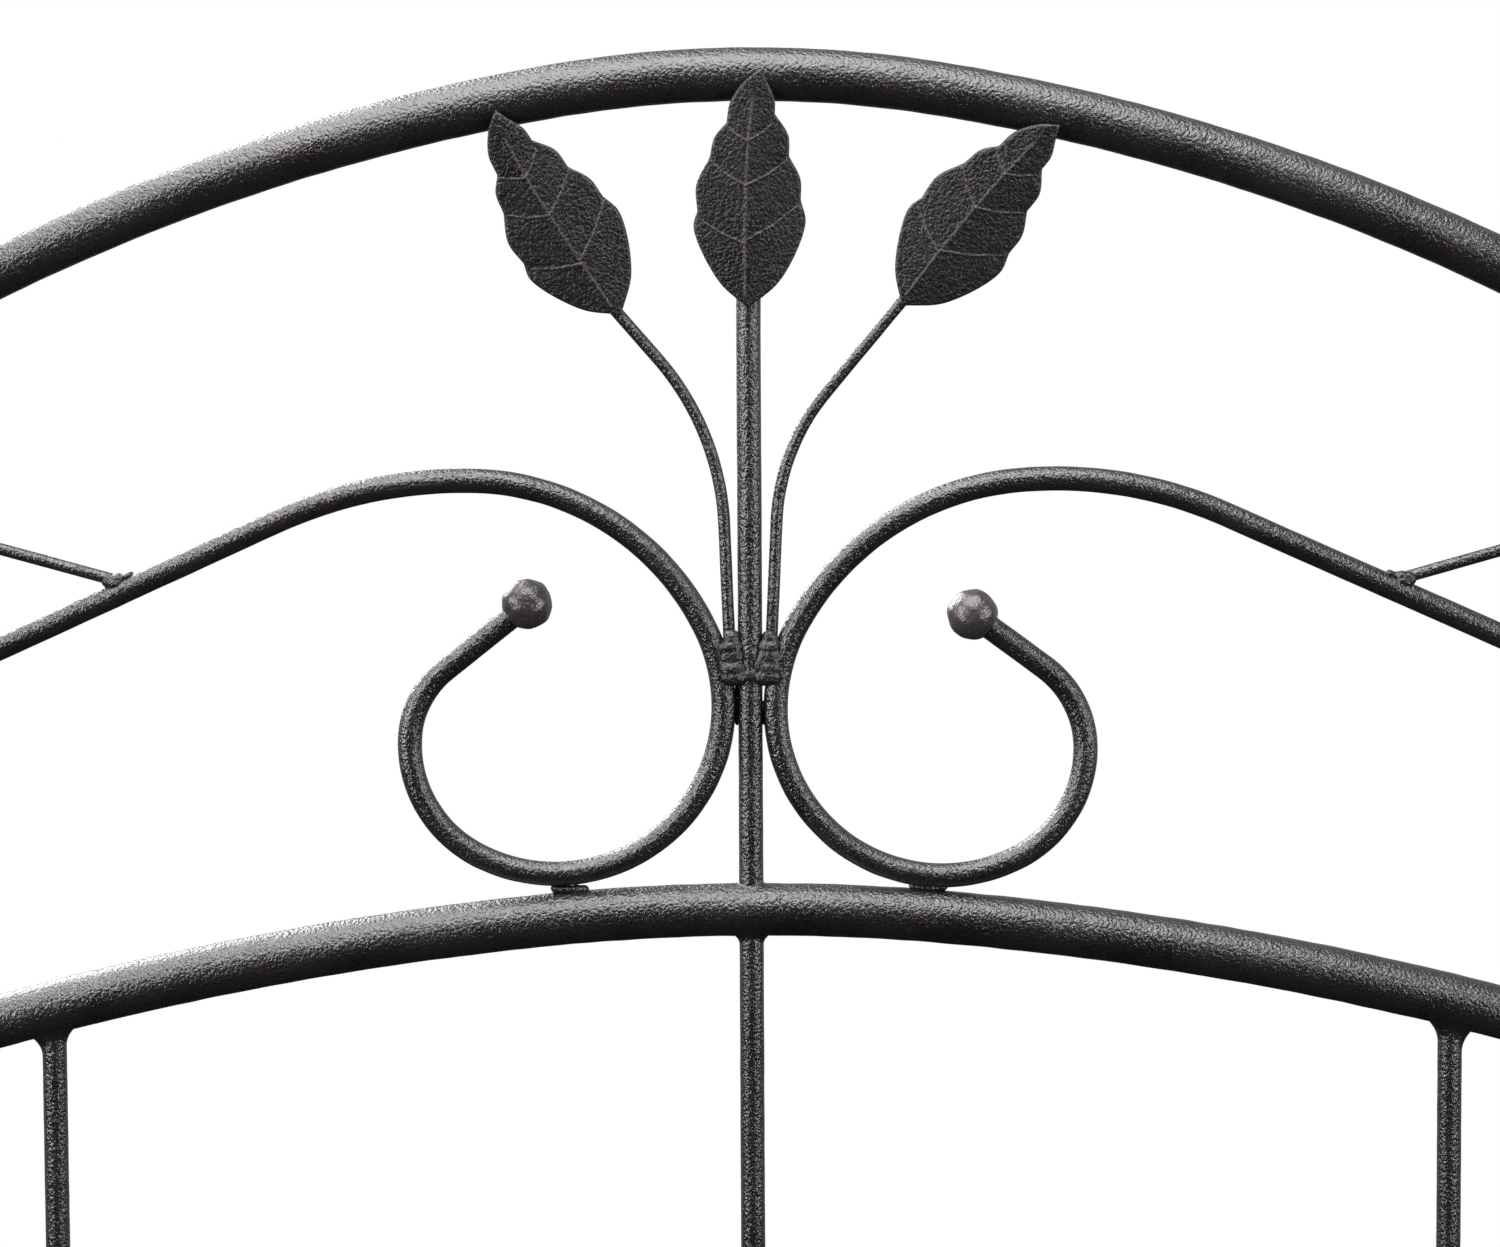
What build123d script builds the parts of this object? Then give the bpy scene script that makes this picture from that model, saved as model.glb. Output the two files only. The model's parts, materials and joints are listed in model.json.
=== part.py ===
"""Arched metal garden trellis: a welded, single-plane panel in two halves that plug together.

Frame: +X to the viewer's right, the front faces -Y, +Z up. The origin is on the ground line,
midway between the two legs. Every tube and rod has its centreline in the plane Y = 0.
"""

from build123d import *
from math import acos, asin, atan2, cos, degrees, radians, sin, sqrt, tan
import os

os.makedirs("parts", exist_ok=True)

# ---------------------------------------------------------------- driving dimensions, mm
TUBE_D = 13.0  # arches, legs and rails
TUBE_WALL = 1.0
ROD_D = 6.0  # upright rods and scrolls
WIRE_D = 3.0  # leaf stems and branch stems
BALL_D = 12.4

BAY = 172.4  # spacing of the upright rods; the legs stand two bays out
LEG_X = 2 * BAY
OVERALL_TOP = 1829.0  # top of the outer arch above the ground line
ARCH_DROP = 204.6  # outer crown centreline to second crown centreline

OUTER_CROWN_R, OUTER_CROWN_HALF = 289.5, 9.76  # centreline radius, half angle
OUTER_HAUNCH_R = 513.0
OUTER_SHOULDER_R = 60.0
SECOND_CROWN_R, SECOND_CROWN_HALF = 527.0, 5.34
SECOND_HAUNCH_R = 823.0
SECOND_END_RUN = 25.0  # straight end of the second arch, measured across, into each leg

# Each scroll was bent by hand, so the two differ a little. "contact" is where it comes nearest
# to the centre stem, out from the middle and above the second crown; each bend is
# (radius, degrees), and the curl ends in a straight run to the ball's centre.
SCROLL_BENDS = {
    "left": {
        "contact": (6.6, 50.6),
        "upper": [(43.3, 25.2), (64.5, 63.1), (111.6, 26.0)],
        "lower": [(41.5, 116.2), (31.1, 64.3), (23.5, 51.1)],
        "curl_run": 25.8,
    },
    "right": {
        "contact": (6.2, 49.3),
        "upper": [(44.1, 29.4), (68.4, 55.4), (102.9, 29.3)],
        "lower": [(41.1, 115.8), (30.4, 62.0), (25.0, 55.6)],
        "curl_run": 22.0,
    },
}

# Leaf stems: foot offset from the centre, heading, lower run, bend and upper run to the leaf.
STEM_FOOT_Z = 67.0
LEAF_STEMS = {
    "left": {"foot_x": 4.95, "heading": 92.2, "run": 28.0, "bend": (66.3, 38.8), "top": 13.2},
    "right": {"foot_x": 5.1, "heading": 92.7, "run": 28.9, "bend": (52.8, 37.3), "top": 28.0},
}
STEM_BEHIND_LEAF = 12.0
CENTRE_STEM_BEHIND_LEAF = 14.0

BRANCH_ROOT_X = {"left": 150.6, "right": 155.2}  # where each branch stands on its scroll's tail
BRANCH_RISE = 15.6  # degrees above level, going outwards
BRANCH_RUN = 62.0

LEAF_T = 0.8
LEAF_LENGTH = 58.0
LEAF_GAP = 0.2  # air between a leaf's back and the tube or rod behind it
CENTRE_LEAF_BASE_Z = 147.9
SIDE_LEAF = {"left": (-31.0, 146.5, 34.7), "right": (37.4, 148.3, -37.8)}  # x, z, lean
BRANCH_LEAF_OFFSET = 52.0  # along the branch stem, from its root
BRANCH_LEAF_LIFT = 1.8  # the outer arch crosses behind this leaf's middle, so it leans out more

UPPER_CROSS_Z = 1290.0
UPPER_RAIL_Z = 945.0
LEG_JOINT_Z = 915.0
LOWER_RAIL_Z = 885.0
LOWER_CROSS_Z = 540.0
BOTTOM_RAIL_Z = 195.0

SPIGOT_LENGTH = 90.0
SPIGOT_PLAY = 0.1  # radial gap inside the leg tube
SPIGOT_WALL = 1.2
SCREW_OFFSET = 24.0  # each joint screw above or below the leg joint
SCREW_D, SCREW_HEAD_D, SCREW_HEAD_T, SCREW_SHANK = 4.0, 8.0, 2.6, 17.5
SCREW_HEAD_FILLET = 1.5
SCREW_HOLE_D = 4.4
NUT_ACROSS_FLATS, NUT_T, NUT_DOME_R = 7.0, 3.2, 3.2  # cap nuts
NUT_THREAD = 1.6  # how far the screw runs into the cap's dome

SPIKE_D = 10.6
SPIKE_BELOW, SPIKE_INSIDE, SPIKE_POINT = 200.0, 60.0, 30.0
SPIKE_CHAMFER = 1.5  # on the end inside the leg
COLLAR_D, COLLAR_T = 18.0, 3.0

WELD_LEG = 1.4  # how far a fillet bead stands out from its rod
WELD_RISE = 3.4
WELD_WAIST = (0.35, 0.4)  # the bead's hollow face, as shares of its leg and its rise
WELD_SINK = 0.3  # how deep a bead is let into the tube that it stands on
SCROLL_WELD_X, SCROLL_WELD_Z = 5.0, 61.0  # from the centre stem's axis and the second crown
SCROLL_WELD_LENGTH, SCROLL_WELD_R, SCROLL_WELD_LEAN = 13.5, 3.4, 88.0
FOOT_WELD_INWARD = 3.5  # the arch slopes, so a scroll comes nearest to it inside its lowest point
FOOT_WELD_LENGTH, FOOT_WELD_R, FOOT_WELD_LEAN = 13.0, 2.3, 5.0
BRANCH_WELD_X, BRANCH_WELD_Z = 2.5, 3.0  # out from and above the branch's root
BRANCH_WELD_LENGTH, BRANCH_WELD_R, BRANCH_WELD_LEAN = 8.0, 2.4, 15.0

# ---------------------------------------------------------------- values worked out from them
TUBE_R, ROD_R, WIRE_R = TUBE_D / 2, ROD_D / 2, WIRE_D / 2
OUTER_CROWN_Z = OVERALL_TOP - TUBE_R
SECOND_CROWN_Z = OUTER_CROWN_Z - ARCH_DROP
SIDES = {"left": -1, "right": 1}
ROD_XS = {"left": -BAY, "centre": 0.0, "right": BAY}


def on_circle(centre, radius, angle):
    """Point of a circle in the XZ plane, angle in degrees from +X."""
    return (centre[0] + radius * cos(radians(angle)), centre[1] + radius * sin(radians(angle)))


def outer_arch_bends():
    """Centres and end angles of the outer arch's right half: crown, haunch and shoulder."""
    crown = (0.0, OUTER_CROWN_Z - OUTER_CROWN_R)
    join = 90 - OUTER_CROWN_HALF
    haunch = on_circle(crown, OUTER_CROWN_R - OUTER_HAUNCH_R, join)
    reach = (LEG_X - OUTER_SHOULDER_R - haunch[0]) / (OUTER_HAUNCH_R - OUTER_SHOULDER_R)
    bend = 90 - degrees(asin(reach))
    shoulder = on_circle(haunch, OUTER_HAUNCH_R - OUTER_SHOULDER_R, bend)
    return crown, haunch, shoulder, join, bend


def second_arch_bends():
    """Centres and end angles of the second arch's right half: crown and haunch."""
    crown = (0.0, SECOND_CROWN_Z - SECOND_CROWN_R)
    join = 90 - SECOND_CROWN_HALF
    haunch = on_circle(crown, SECOND_CROWN_R - SECOND_HAUNCH_R, join)
    end = degrees(acos((LEG_X - SECOND_END_RUN - haunch[0]) / SECOND_HAUNCH_R))
    return crown, haunch, join, end


def height_on_second_arch(x):
    """Height of the second arch's centreline at a distance x from the middle."""
    crown, haunch, join, end = second_arch_bends()
    x = abs(x)
    if x <= SECOND_CROWN_R * cos(radians(join)):
        return crown[1] + sqrt(SECOND_CROWN_R**2 - x**2)
    if x <= LEG_X - SECOND_END_RUN:
        return haunch[1] + sqrt(SECOND_HAUNCH_R**2 - (x - haunch[0]) ** 2)
    end_point = on_circle(haunch, SECOND_HAUNCH_R, end)
    return end_point[1] - (x - end_point[0]) / tan(radians(end))


def outer_arch_route():
    """Centreline of the outer arch with its two upper legs, from left foot to right foot."""
    crown, haunch, shoulder, join, bend = outer_arch_bends()
    left_haunch = (-haunch[0], haunch[1])
    left_shoulder = (-shoulder[0], shoulder[1])
    with BuildLine(Plane.XZ) as route:
        Line((-LEG_X, LEG_JOINT_Z), (-LEG_X, shoulder[1]))
        CenterArc(left_shoulder, OUTER_SHOULDER_R, 180, -bend)
        CenterArc(left_haunch, OUTER_HAUNCH_R, 180 - bend, bend - join)
        CenterArc(crown, OUTER_CROWN_R, 180 - join, 2 * join - 180)
        CenterArc(haunch, OUTER_HAUNCH_R, join, bend - join)
        CenterArc(shoulder, OUTER_SHOULDER_R, bend, -bend)
        Line((LEG_X, shoulder[1]), (LEG_X, LEG_JOINT_Z))
    return route.wire()


def second_arch_route():
    """Centreline of the second arch, from the left leg's axis to the right leg's axis."""
    crown, haunch, join, end = second_arch_bends()
    last = on_circle(haunch, SECOND_HAUNCH_R, end)
    foot_z = height_on_second_arch(LEG_X)
    with BuildLine(Plane.XZ) as route:
        Line((-LEG_X, foot_z), (-last[0], last[1]))
        CenterArc((-haunch[0], haunch[1]), SECOND_HAUNCH_R, 180 - end, end - join)
        CenterArc(crown, SECOND_CROWN_R, 180 - join, 2 * join - 180)
        CenterArc(haunch, SECOND_HAUNCH_R, join, end - join)
        Line(last, (LEG_X, foot_z))
    return route.wire()


def swept(route, radius, bore=0.0):
    """Round bar, or tube when it has a bore radius, along a centreline."""
    with BuildPart() as bar:
        with BuildSketch(Plane(origin=route @ 0, z_dir=route % 0)):
            Circle(radius)
            if bore:
                Circle(bore, mode=Mode.SUBTRACT)
        sweep(path=route)
    return bar.part


def straight_bar(start, end, radius, bore=0.0):
    """Round bar or tube between two points of the XZ plane."""
    run = Vector(end[0] - start[0], 0, end[1] - start[1])
    with BuildPart() as bar:
        with BuildSketch(Plane(origin=(start[0], 0, start[1]), z_dir=run)):
            Circle(radius)
            if bore:
                Circle(bore, mode=Mode.SUBTRACT)
        extrude(amount=run.length)
    return bar.part


def save(part, name):
    """Label a finished piece and write its STEP file."""
    part.label = name
    export_step(part, f"parts/{name}.step")


# Solid outer shapes of the tubes, for coping the ends of what is welded to them.
SECOND_ENVELOPE = swept(second_arch_route(), TUBE_R)


def rail_envelope(z):
    return straight_bar((-LEG_X, z), (LEG_X, z), TUBE_R)


def leg_envelopes(z):
    """Solid outer shapes of both legs near a height, where both are straight."""
    return [
        straight_bar((side * LEG_X, z - 3 * TUBE_D), (side * LEG_X, z + 3 * TUBE_D), TUBE_R)
        for side in SIDES.values()
    ]


# ---------------------------------------------------------------- tubes of the upper panel
with BuildPart() as arch_frame_tube:
    add(swept(outer_arch_route(), TUBE_R, TUBE_R - TUBE_WALL))
    with Locations(*[(side * LEG_X, 0, LEG_JOINT_Z + SCREW_OFFSET) for side in SIDES.values()]):
        Cylinder(SCREW_HOLE_D / 2, 2 * TUBE_D, rotation=(90, 0, 0), mode=Mode.SUBTRACT)
save(arch_frame_tube.part, "arch_frame_tube")

with BuildPart() as second_arch_tube:
    add(swept(second_arch_route(), TUBE_R, TUBE_R - TUBE_WALL))
    for leg in leg_envelopes(height_on_second_arch(LEG_X)):
        add(leg, mode=Mode.SUBTRACT)
save(second_arch_tube.part, "second_arch_tube")


def cross_rail(z):
    """Horizontal tube with both ends coped onto the legs."""
    with BuildPart() as rail:
        add(straight_bar((-LEG_X, z), (LEG_X, z), TUBE_R, TUBE_R - TUBE_WALL))
        for leg in leg_envelopes(z):
            add(leg, mode=Mode.SUBTRACT)
    return rail.part


save(cross_rail(UPPER_RAIL_Z), "upper_panel_rail")
save(cross_rail(LOWER_RAIL_Z), "lower_panel_top_rail")
save(cross_rail(BOTTOM_RAIL_Z), "lower_panel_bottom_rail")

# ---------------------------------------------------------------- legs of the lower panel
for side_name, side in SIDES.items():
    with BuildPart() as lower_leg:
        add(straight_bar((side * LEG_X, 0), (side * LEG_X, LEG_JOINT_Z), TUBE_R, TUBE_R - TUBE_WALL))
        with Locations((side * LEG_X, 0, LEG_JOINT_Z - SCREW_OFFSET)):
            Cylinder(SCREW_HOLE_D / 2, 2 * TUBE_D, rotation=(90, 0, 0), mode=Mode.SUBTRACT)
    save(lower_leg.part, f"{side_name}_lower_leg")


# ---------------------------------------------------------------- upright and horizontal rods
def upright_rod(x, bottom_z, top_z, tubes):
    """Upright rod whose ends are coped onto the tubes above and below it."""
    with BuildPart() as rod:
        add(straight_bar((x, bottom_z), (x, top_z), ROD_R))
        for tube in tubes:
            add(tube, mode=Mode.SUBTRACT)
    return rod.part


UPPER_RAIL, TOP_RAIL, BOTTOM_RAIL = [
    rail_envelope(z) for z in (UPPER_RAIL_Z, LOWER_RAIL_Z, BOTTOM_RAIL_Z)
]
for rod_name, x in ROD_XS.items():
    top_z = height_on_second_arch(x)
    save(
        upright_rod(x, UPPER_RAIL_Z, top_z, [SECOND_ENVELOPE, UPPER_RAIL]),
        f"{rod_name}_upper_rod",
    )
    save(
        upright_rod(x, BOTTOM_RAIL_Z, LOWER_RAIL_Z, [TOP_RAIL, BOTTOM_RAIL]),
        f"{rod_name}_lower_rod",
    )


def cross_rods(z):
    """Row of four short level rods, each coped between two neighbouring uprights."""
    uprights = [
        straight_bar((x, z - 3 * ROD_D), (x, z + 3 * ROD_D), ROD_R) for x in ROD_XS.values()
    ]
    with BuildPart() as row:
        add(straight_bar((-LEG_X, z), (LEG_X, z), ROD_R))
        for post in uprights + leg_envelopes(z):
            add(post, mode=Mode.SUBTRACT)
    return row.part


save(cross_rods(UPPER_CROSS_Z), "upper_cross_rods")
save(cross_rods(LOWER_CROSS_Z), "lower_cross_rods")


# ---------------------------------------------------------------- centre stem and scrolls
CENTRE_STEM_TOP = SECOND_CROWN_Z + CENTRE_LEAF_BASE_Z + CENTRE_STEM_BEHIND_LEAF
save(upright_rod(0, SECOND_CROWN_Z, CENTRE_STEM_TOP, [SECOND_ENVELOPE]), "centre_stem")


def scroll_route(shape):
    """Centreline of the left scroll in the XZ plane, and the direction of its curl's end.

    The bends start where the scroll comes nearest to the centre stem. The upper bends run up
    and over into the straight tail, and the lower bends run down and round to the curl.
    """
    contact = (-shape["contact"][0], SECOND_CROWN_Z + shape["contact"][1])
    with BuildLine(Plane.XZ) as route:
        start, heading = contact, 90.0
        for radius, turn in shape["upper"]:
            bend = JernArc(start, (cos(radians(heading)), sin(radians(heading))), radius, turn)
            start = (bend @ 1).X, (bend @ 1).Z
            heading += turn
        tail_x = -LEG_X
        Line(start, (tail_x, start[1] + (tail_x - start[0]) * tan(radians(heading))))
        tail = start, heading
        start, heading = contact, -90.0
        for radius, turn in shape["lower"]:
            bend = JernArc(start, (cos(radians(heading)), sin(radians(heading))), radius, -turn)
            start = (bend @ 1).X, (bend @ 1).Z
            heading -= turn
        curl_end = on_circle(start, shape["curl_run"], heading)
        Line(start, curl_end)
    return route.wire(), tail, curl_end


def mirrored(part, side):
    """The part itself for the left side, or its mirror image for the right side."""
    return part if side < 0 else mirror(part, about=Plane.YZ)


def height_on_tail(shape, x):
    """Height of a scroll tail's centreline at a distance x from the middle."""
    _, (start, heading), _ = scroll_route(shape)
    return start[1] + (-x - start[0]) * tan(radians(heading))


scroll_solids = {}
ball_centres = {}
for side_name, side in SIDES.items():
    shape = SCROLL_BENDS[side_name]
    route, _, curl_end = scroll_route(shape)
    ball = Pos(curl_end[0], 0, curl_end[1]) * Sphere(BALL_D / 2)
    with BuildPart() as scroll:
        add(swept(route, ROD_R))
        for leg in leg_envelopes(height_on_tail(shape, LEG_X)):
            add(leg, mode=Mode.SUBTRACT)
        add(ball, mode=Mode.SUBTRACT)
    scroll_solids[side_name] = mirrored(scroll.part, side)
    ball_centres[side_name] = (-side * curl_end[0], curl_end[1])
    save(scroll_solids[side_name], f"{side_name}_scroll")
    save(mirrored(ball, side), f"{side_name}_scroll_ball")


# ---------------------------------------------------------------- thin stems
def leaf_stem(shape):
    """Left leaf stem: a straight foot beside the centre stem, one bend, and a straight top."""
    foot = (-shape["foot_x"], SECOND_CROWN_Z + STEM_FOOT_Z)
    lean = radians(shape["heading"])
    radius, turn = shape["bend"]
    with BuildLine(Plane.XZ) as route:
        lower = Line(foot, on_circle(foot, shape["run"], shape["heading"]))
        knee = (lower @ 1).X, (lower @ 1).Z
        bend = JernArc(knee, (cos(lean), sin(lean)), radius, turn)
        top = (bend @ 1).X, (bend @ 1).Z
        Line(top, on_circle(top, shape["top"] + STEM_BEHIND_LEAF, shape["heading"] + turn))
    return swept(route.wire(), WIRE_R)


stem_solids = {}
for side_name, side in SIDES.items():
    stem_solids[side_name] = mirrored(leaf_stem(LEAF_STEMS[side_name]), side)
    save(stem_solids[side_name], f"{side_name}_leaf_stem")


def branch_root(side_name):
    """Point of a scroll tail's centreline that its branch stem stands on (left side)."""
    x = BRANCH_ROOT_X[side_name]
    return (-x, height_on_tail(SCROLL_BENDS[side_name], x))


branch_solids = {}
for side_name, side in SIDES.items():
    root = branch_root(side_name)
    tip = on_circle(root, BRANCH_RUN, 180 - BRANCH_RISE)
    with BuildPart() as branch:
        add(mirrored(straight_bar(root, tip, WIRE_R), side))
        add(scroll_solids[side_name], mode=Mode.SUBTRACT)
    branch_solids[side_name] = branch.part
    save(branch_solids[side_name], f"{side_name}_branch_stem")


# ---------------------------------------------------------------- leaves
def leaf_outline():
    """Half-lobed leaf outline, base at the origin and tip up, as bulges between notches."""
    right = [
        [(0, 0), (8.0, 7.0), (14.0, 20.5), (12.9, 26.1)],
        [(12.9, 26.1), (12.8, 31.2), (10.1, 36.7)],
        [(10.1, 36.7), (9.9, 41.8), (6.7, 46.9)],
        [(6.7, 46.9), (6.6, 50.6), (4.7, 55.0), (3.6, LEAF_LENGTH)],
    ]
    left = [
        [(0, 0), (-7.2, 6.6), (-13.2, 19.5), (-12.3, 23.7)],
        [(-12.3, 23.7), (-12.5, 29.9), (-9.2, 36.6)],
        [(-9.2, 36.6), (-8.0, 41.5), (-5.1, 44.9)],
        [(-5.1, 44.9), (-4.1, 50.0), (-0.6, 54.9), (3.6, LEAF_LENGTH)],
    ]
    with BuildLine() as outline:
        for lobe in right + left:
            Spline(*lobe)
    return outline.wire()


def leaf(base_x, base_z, lean, base_y, tip_y):
    """Leaf plate in front of its stem, its back running from base_y to tip_y at the tip."""
    tilt = atan2(base_y - tip_y, LEAF_LENGTH)
    across = Vector(cos(radians(lean)), 0, sin(radians(lean)))
    midrib = Vector(-across.Z * cos(tilt), -sin(tilt), across.X * cos(tilt))
    base = (base_x, base_y, SECOND_CROWN_Z + base_z)
    sheet = Plane(origin=base, x_dir=across, z_dir=across.cross(midrib))
    with BuildPart() as plate:
        with BuildSketch(sheet):
            make_face(leaf_outline())
        extrude(amount=LEAF_T)
    return plate.part


LEAF_TIP_Y = -TUBE_R - LEAF_GAP
save(leaf(0, CENTRE_LEAF_BASE_Z, 0, -ROD_R - LEAF_GAP, LEAF_TIP_Y), "centre_leaf")
for side_name, side in SIDES.items():
    x, z, lean = SIDE_LEAF[side_name]
    save(leaf(x, z, lean, -WIRE_R - LEAF_GAP, LEAF_TIP_Y), f"{side_name}_leaf")
    root = branch_root(side_name)
    base = on_circle(root, BRANCH_LEAF_OFFSET, 180 - BRANCH_RISE)
    lean = -side * (90 - BRANCH_RISE)
    save(
        leaf(
            -side * base[0],
            base[1] - SECOND_CROWN_Z,
            lean,
            -WIRE_R - LEAF_GAP,
            LEAF_TIP_Y - BRANCH_LEAF_LIFT,
        ),
        f"{side_name}_branch_leaf",
    )


# ---------------------------------------------------------------- weld beads
def lump(x, z, length, radius, lean=0.0):
    """Round-ended weld lump in the panel's plane, its length leaning from +X."""
    body = Cylinder(radius, length - 2 * radius, rotation=(0, 90, 0))
    ends = [Pos(side * (length / 2 - radius), 0, 0) * Sphere(radius) for side in (-1, 1)]
    return Pos(x, 0, z) * Rot(0, -lean, 0) * (body + ends)


def fillet_ring(x, z, rise):
    """Ring bead round an upright rod, widest at height z and rising or falling by rise."""
    flank = [
        (ROD_R, 0),
        (ROD_R + WELD_LEG, 0),
        (ROD_R + WELD_WAIST[0] * WELD_LEG, WELD_WAIST[1] * rise),
        (ROD_R, rise),
    ]
    with BuildPart() as ring:
        with BuildSketch(Plane.XZ):
            with BuildLine():
                Line(flank[0], flank[1])
                ThreePointArc(flank[1], flank[2], flank[3])
                Line(flank[3], flank[0])
            make_face()
        revolve(axis=Axis.Z)
    return Pos(x, 0, z) * ring.part


def bead_group(lumps, neighbours, name):
    """Weld lumps cut back to the surfaces of the pieces that they join."""
    with BuildPart() as beads:
        for bead in lumps:
            add(bead)
        for piece in neighbours:
            add(piece, mode=Mode.SUBTRACT)
    save(beads.part, name)


CENTRE_ROD = straight_bar((0, SECOND_CROWN_Z), (0, CENTRE_STEM_TOP), ROD_R)
scroll_lumps = [
    lump(
        side * SCROLL_WELD_X,
        SECOND_CROWN_Z + SCROLL_WELD_Z,
        SCROLL_WELD_LENGTH,
        SCROLL_WELD_R,
        -side * SCROLL_WELD_LEAN,
    )
    for side in SIDES.values()
]
bead_group(
    scroll_lumps,
    [CENTRE_ROD, *scroll_solids.values(), *stem_solids.values()],
    "scroll_weld_beads",
)

foot_lumps = []
for side_name, side in SIDES.items():
    shape = SCROLL_BENDS[side_name]
    foot_x = side * (shape["contact"][0] + shape["lower"][0][0] - FOOT_WELD_INWARD)
    foot_z = height_on_second_arch(foot_x) + TUBE_R + WELD_SINK
    foot_lumps.append(lump(foot_x, foot_z, FOOT_WELD_LENGTH, FOOT_WELD_R, -side * FOOT_WELD_LEAN))
bead_group(foot_lumps, [SECOND_ENVELOPE, *scroll_solids.values()], "scroll_foot_weld_beads")

root_lumps = []
for side_name, side in SIDES.items():
    root = branch_root(side_name)
    root_lumps.append(
        lump(
            -side * (root[0] - BRANCH_WELD_X),
            root[1] + BRANCH_WELD_Z,
            BRANCH_WELD_LENGTH,
            BRANCH_WELD_R,
            side * BRANCH_WELD_LEAN,
        )
    )
bead_group(
    root_lumps,
    [*scroll_solids.values(), *branch_solids.values()],
    "branch_weld_beads",
)

arch_rings = [
    fillet_ring(x, height_on_second_arch(x) - TUBE_R + WELD_SINK, -WELD_RISE)
    for x in ROD_XS.values()
]
arch_rings.append(fillet_ring(0, SECOND_CROWN_Z + TUBE_R - WELD_SINK, WELD_RISE))
rods_at_arch = [
    straight_bar((x, height_on_second_arch(x) - 2 * TUBE_D), (x, height_on_second_arch(x)), ROD_R)
    for x in ROD_XS.values()
]
bead_group(arch_rings, [SECOND_ENVELOPE, *rods_at_arch, CENTRE_ROD], "arch_weld_beads")

rail_rings = []
rods_at_rails = []
for z, rise in (
    (UPPER_RAIL_Z, WELD_RISE),
    (LOWER_RAIL_Z, -WELD_RISE),
    (BOTTOM_RAIL_Z, WELD_RISE),
):
    direction = 1 if rise > 0 else -1
    for x in ROD_XS.values():
        rail_rings.append(fillet_ring(x, z + direction * (TUBE_R - WELD_SINK), rise))
        rods_at_rails.append(straight_bar((x, z), (x, z + direction * 2 * TUBE_D), ROD_R))
bead_group(rail_rings, [UPPER_RAIL, TOP_RAIL, BOTTOM_RAIL, *rods_at_rails], "rail_weld_beads")


# ---------------------------------------------------------------- leg joints
SCREW_HEIGHTS = (LEG_JOINT_Z + SCREW_OFFSET, LEG_JOINT_Z - SCREW_OFFSET)
SPIGOT_R = TUBE_R - TUBE_WALL - SPIGOT_PLAY
for side_name, side in SIDES.items():
    foot = (side * LEG_X, LEG_JOINT_Z - SPIGOT_LENGTH / 2)
    head = (side * LEG_X, LEG_JOINT_Z + SPIGOT_LENGTH / 2)
    with BuildPart() as spigot:
        add(straight_bar(foot, head, SPIGOT_R, SPIGOT_R - SPIGOT_WALL))
        with Locations(*[(side * LEG_X, 0, z) for z in SCREW_HEIGHTS]):
            Cylinder(SCREW_HOLE_D / 2, 2 * TUBE_D, rotation=(90, 0, 0), mode=Mode.SUBTRACT)
    save(spigot.part, f"{side_name}_joint_spigot")

with BuildPart() as joint_screws:
    with Locations(
        *[(side * LEG_X, -TUBE_R, z) for side in SIDES.values() for z in SCREW_HEIGHTS]
    ):
        Cylinder(
            SCREW_D / 2, SCREW_SHANK, rotation=(90, 0, 0), align=(Align.CENTER, Align.CENTER, Align.MAX)
        )
        Cylinder(
            SCREW_HEAD_D / 2,
            SCREW_HEAD_T,
            rotation=(90, 0, 0),
            align=(Align.CENTER, Align.CENTER, Align.MIN),
        )
    fillet(joint_screws.edges().filter_by(GeomType.CIRCLE).group_by(Axis.Y)[0], SCREW_HEAD_FILLET)
save(joint_screws.part, "joint_screws")

NUT_PLANE = Plane(origin=(0, TUBE_R, 0), x_dir=(1, 0, 0), z_dir=(0, 1, 0))
with BuildPart() as joint_nuts:
    with BuildSketch(NUT_PLANE):
        with Locations(*[(side * LEG_X, -z) for side in SIDES.values() for z in SCREW_HEIGHTS]):
            RegularPolygon(NUT_ACROSS_FLATS / 2, 6, major_radius=False)
            Circle(SCREW_D / 2, mode=Mode.SUBTRACT)
    extrude(amount=NUT_T)
    with Locations(
        *[(side * LEG_X, TUBE_R + NUT_T, z) for side in SIDES.values() for z in SCREW_HEIGHTS]
    ):
        Sphere(NUT_DOME_R, rotation=(-90, 0, 0), arc_size1=0)
        Cylinder(SCREW_D / 2, 2 * NUT_THREAD, rotation=(90, 0, 0), mode=Mode.SUBTRACT)
save(joint_nuts.part, "joint_nuts")

# ---------------------------------------------------------------- ground spikes
for side_name, side in SIDES.items():
    with BuildPart() as spike:
        with BuildSketch(Plane.XZ) as half_profile:
            with BuildLine():
                Polyline(
                    (0, -SPIKE_BELOW),
                    (SPIKE_D / 2, -SPIKE_BELOW + SPIKE_POINT),
                    (SPIKE_D / 2, -COLLAR_T),
                    (COLLAR_D / 2, -COLLAR_T),
                    (COLLAR_D / 2, 0),
                    (SPIKE_D / 2, 0),
                    (SPIKE_D / 2, SPIKE_INSIDE - SPIKE_CHAMFER),
                    (SPIKE_D / 2 - SPIKE_CHAMFER, SPIKE_INSIDE),
                    (0, SPIKE_INSIDE),
                    close=True,
                )
            make_face()
        revolve(axis=Axis.Z)
    save(Pos(side * LEG_X, 0, 0) * spike.part, f"{side_name}_ground_spike")
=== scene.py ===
"""Looks of the arched metal trellis: swept tubes and rods, pressed leaves, weld lumps and coats."""

import json
import math
from math import asin, cos, radians, sin, tan

import bmesh
import bpy
import numpy as np
from mathutils import Matrix, Vector, noise


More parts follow.
